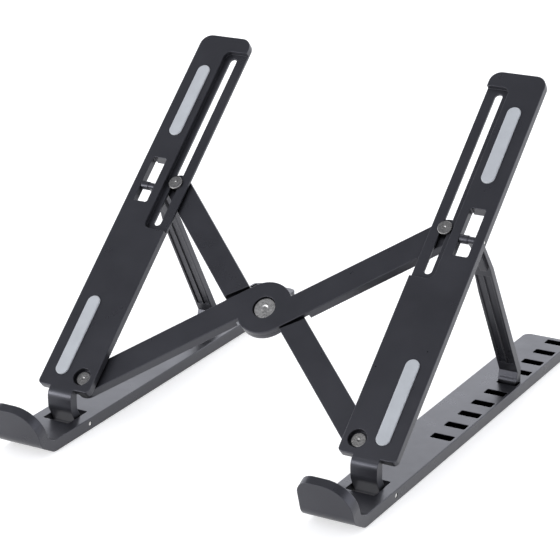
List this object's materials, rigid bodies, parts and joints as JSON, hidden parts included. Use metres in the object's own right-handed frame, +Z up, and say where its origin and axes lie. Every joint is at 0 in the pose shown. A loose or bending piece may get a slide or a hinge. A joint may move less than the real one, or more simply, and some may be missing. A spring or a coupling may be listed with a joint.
{
  "type": "folding laptop stand",
  "caption": "Folding laptop stand: tilted support arms hinged on slotted base rails, propped by struts and tied by scissor crossbars.",
  "frame": {"origin": "middle of the bounding box at the floor", "axes": "+Z up; +Y from the lips at the front to the back; +X to the right, seen from the front"},
  "size_m": [0.2144, 0.274, 0.176],
  "materials": {
    "plastic": "satin moulded ABS",
    "rivet_steel": "nickel plated, turned",
    "pin_steel": "bright drawn",
    "grip": "light grey silicone",
    "foot": "dark grey silicone"
  },
  "bodies": {
    "left_rail": {"left_base_rail": "plastic", "left_hinge_pin": "pin_steel", "left_front_foot": "foot", "left_rear_foot": "foot"},
    "right_rail": {"right_base_rail": "plastic", "right_hinge_pin": "pin_steel", "right_front_foot": "foot", "right_rear_foot": "foot"},
    "left_arm": {"left_support_arm": "plastic", "left_strut_pin": "pin_steel", "left_front_rivet": "rivet_steel", "left_upper_grip": "grip", "left_lower_grip": "grip"},
    "right_arm": {"right_support_arm": "plastic", "right_strut_pin": "pin_steel", "right_front_rivet": "rivet_steel", "right_upper_grip": "grip", "right_lower_grip": "grip"},
    "left_leg": {"left_strut": "plastic"},
    "right_leg": {"right_strut": "plastic"},
    "upper_bar": {"upper_crossbar": "plastic", "right_slider_rivet": "rivet_steel", "centre_rivet": "rivet_steel"},
    "lower_bar": {"lower_crossbar": "plastic", "left_slider_rivet": "rivet_steel"}
  },
  "joints": [
    {"name": "arm_tilt", "type": "hinge", "parent": "left_rail", "child": "left_arm", "pos_m": [-0.0912, -0.08735, 0.0041], "axis": [1, 0, 0], "range_deg": [0, 36]},
    {"name": "scissor", "type": "hinge", "parent": "left_arm", "child": "upper_bar", "pos_m": [-0.0826, -0.07975, 0.02327], "axis": [0, -0.6551, 0.7555], "range_deg": [-2, 47]},
    {"name": "centre_pivot", "type": "hinge", "parent": "upper_bar", "child": "lower_bar", "pos_m": [0, -0.03215, 0.06454], "axis": [0, -0.6551, 0.7555], "range_deg": [-94.5, 4.5]},
    {"name": "right_front_pivot", "type": "hinge", "parent": "lower_bar", "child": "right_arm", "pos_m": [0.0826, -0.07975, 0.02327], "axis": [0, -0.6551, 0.7555], "range_deg": [-2.5, 47.5]},
    {"name": "right_rail_hinge", "type": "hinge", "parent": "right_arm", "child": "right_rail", "pos_m": [0.0912, -0.08735, 0.0041], "axis": [1, 0, 0], "range_deg": [-36.5, 0.5]},
    {"name": "left_strut_hinge", "type": "hinge", "parent": "left_arm", "child": "left_leg", "pos_m": [-0.0977, 0.00822, 0.10682], "axis": [1, 0, 0], "range_deg": [-36.5, 0.5]},
    {"name": "right_strut_hinge", "type": "hinge", "parent": "right_arm", "child": "right_leg", "pos_m": [0.0977, 0.00822, 0.10682], "axis": [1, 0, 0], "range_deg": [-36.5, 0.5]}
  ],
  "couplings": [
    {"joint": "centre_pivot", "follows": "scissor", "ratio": -2},
    {"joint": "right_front_pivot", "follows": "scissor", "ratio": 1},
    {"joint": "right_rail_hinge", "follows": "arm_tilt", "ratio": -1},
    {"joint": "left_strut_hinge", "follows": "arm_tilt", "ratio": -1},
    {"joint": "right_strut_hinge", "follows": "arm_tilt", "ratio": -1}
  ]
}
